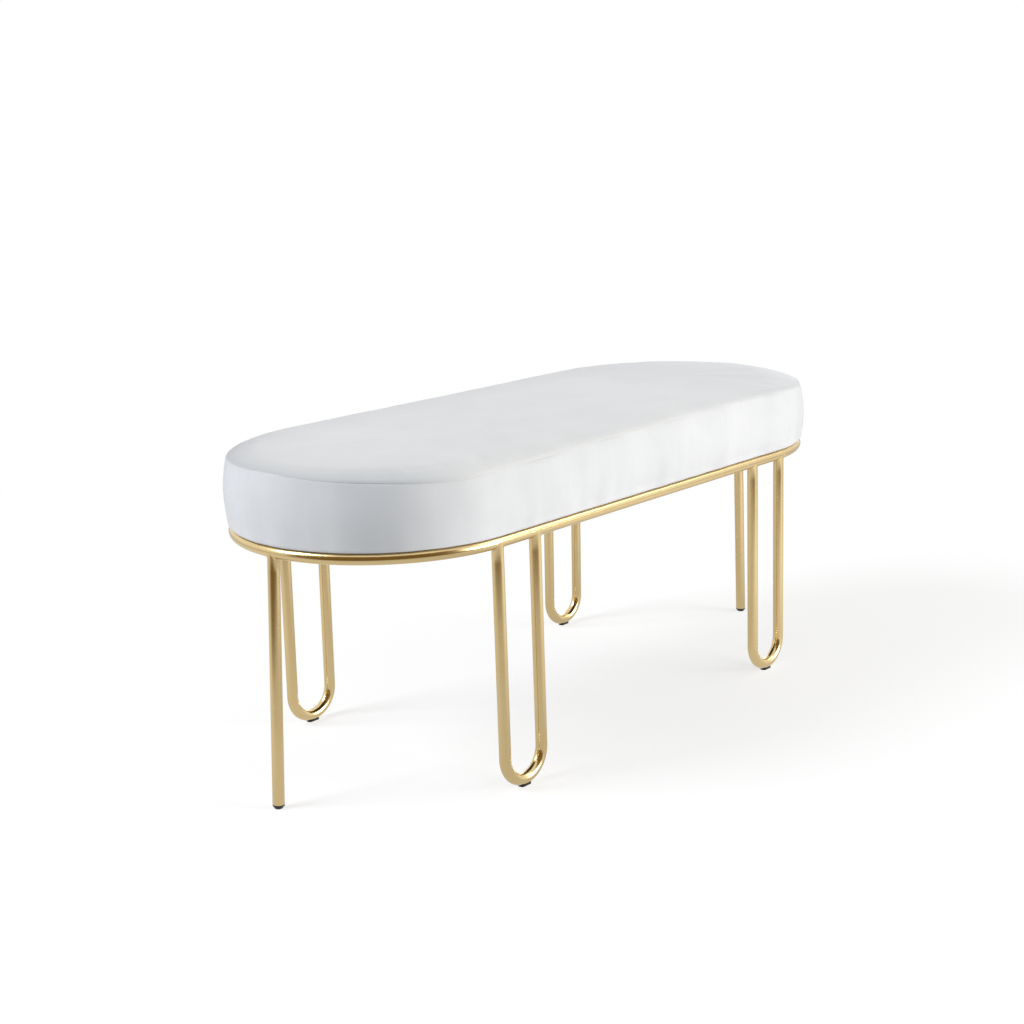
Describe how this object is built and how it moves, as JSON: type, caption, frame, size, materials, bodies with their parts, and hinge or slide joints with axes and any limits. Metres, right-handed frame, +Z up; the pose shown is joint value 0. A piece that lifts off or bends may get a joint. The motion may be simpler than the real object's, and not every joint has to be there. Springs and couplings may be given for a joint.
{
  "type": "upholstered bench",
  "caption": "Long upholstered bench with a stadium-shaped boxed cushion on a round-tube ring, carried by hairpin legs and single end posts.",
  "frame": {"origin": "on the floor, under the middle of the seat", "axes": "+X along the bench, +Z up, the front long side faces -Y"},
  "size_m": [1.1022, 0.4268, 0.45],
  "materials": {
    "velvet": "pale grey velvet, short brushed pile",
    "wadding": "white polyester wadding",
    "foam": "open-cell cushion foam",
    "plywood": "unfinished plywood",
    "dust_cloth": "thin black non-woven cloth",
    "brass_finish": "polished pale gold, clear coated",
    "black_plastic": "satin moulded",
    "black_rubber": "matt",
    "zinc_steel": "bright zinc plated"
  },
  "bodies": {
    "root": {"seat_cover_top": "velvet", "seat_cover_band": "velvet", "wadding_wrap": "wadding", "foam_pad": "foam", "seat_board": "plywood", "dust_cover": "dust_cloth", "frame_rail": "brass_finish", "end_post_left": "brass_finish", "post_foot_cap_left": "black_plastic", "hairpin_leg_front_left": "brass_finish", "hairpin_glide_front_left": "black_rubber", "hairpin_leg_back_left": "brass_finish", "hairpin_glide_back_left": "black_rubber", "end_post_right": "brass_finish", "post_foot_cap_right": "black_plastic", "hairpin_leg_front_right": "brass_finish", "hairpin_glide_front_right": "black_rubber", "hairpin_leg_back_right": "brass_finish", "hairpin_glide_back_right": "black_rubber", "mounting_tab_1": "brass_finish", "seat_screw_1": "zinc_steel", "mounting_tab_2": "brass_finish", "seat_screw_2": "zinc_steel", "mounting_tab_3": "brass_finish", "seat_screw_3": "zinc_steel", "mounting_tab_4": "brass_finish", "seat_screw_4": "zinc_steel", "mounting_tab_5": "brass_finish", "seat_screw_5": "zinc_steel", "mounting_tab_6": "brass_finish", "seat_screw_6": "zinc_steel", "mounting_tab_7": "brass_finish", "seat_screw_7": "zinc_steel", "mounting_tab_8": "brass_finish", "seat_screw_8": "zinc_steel"}
  },
  "joints": []
}
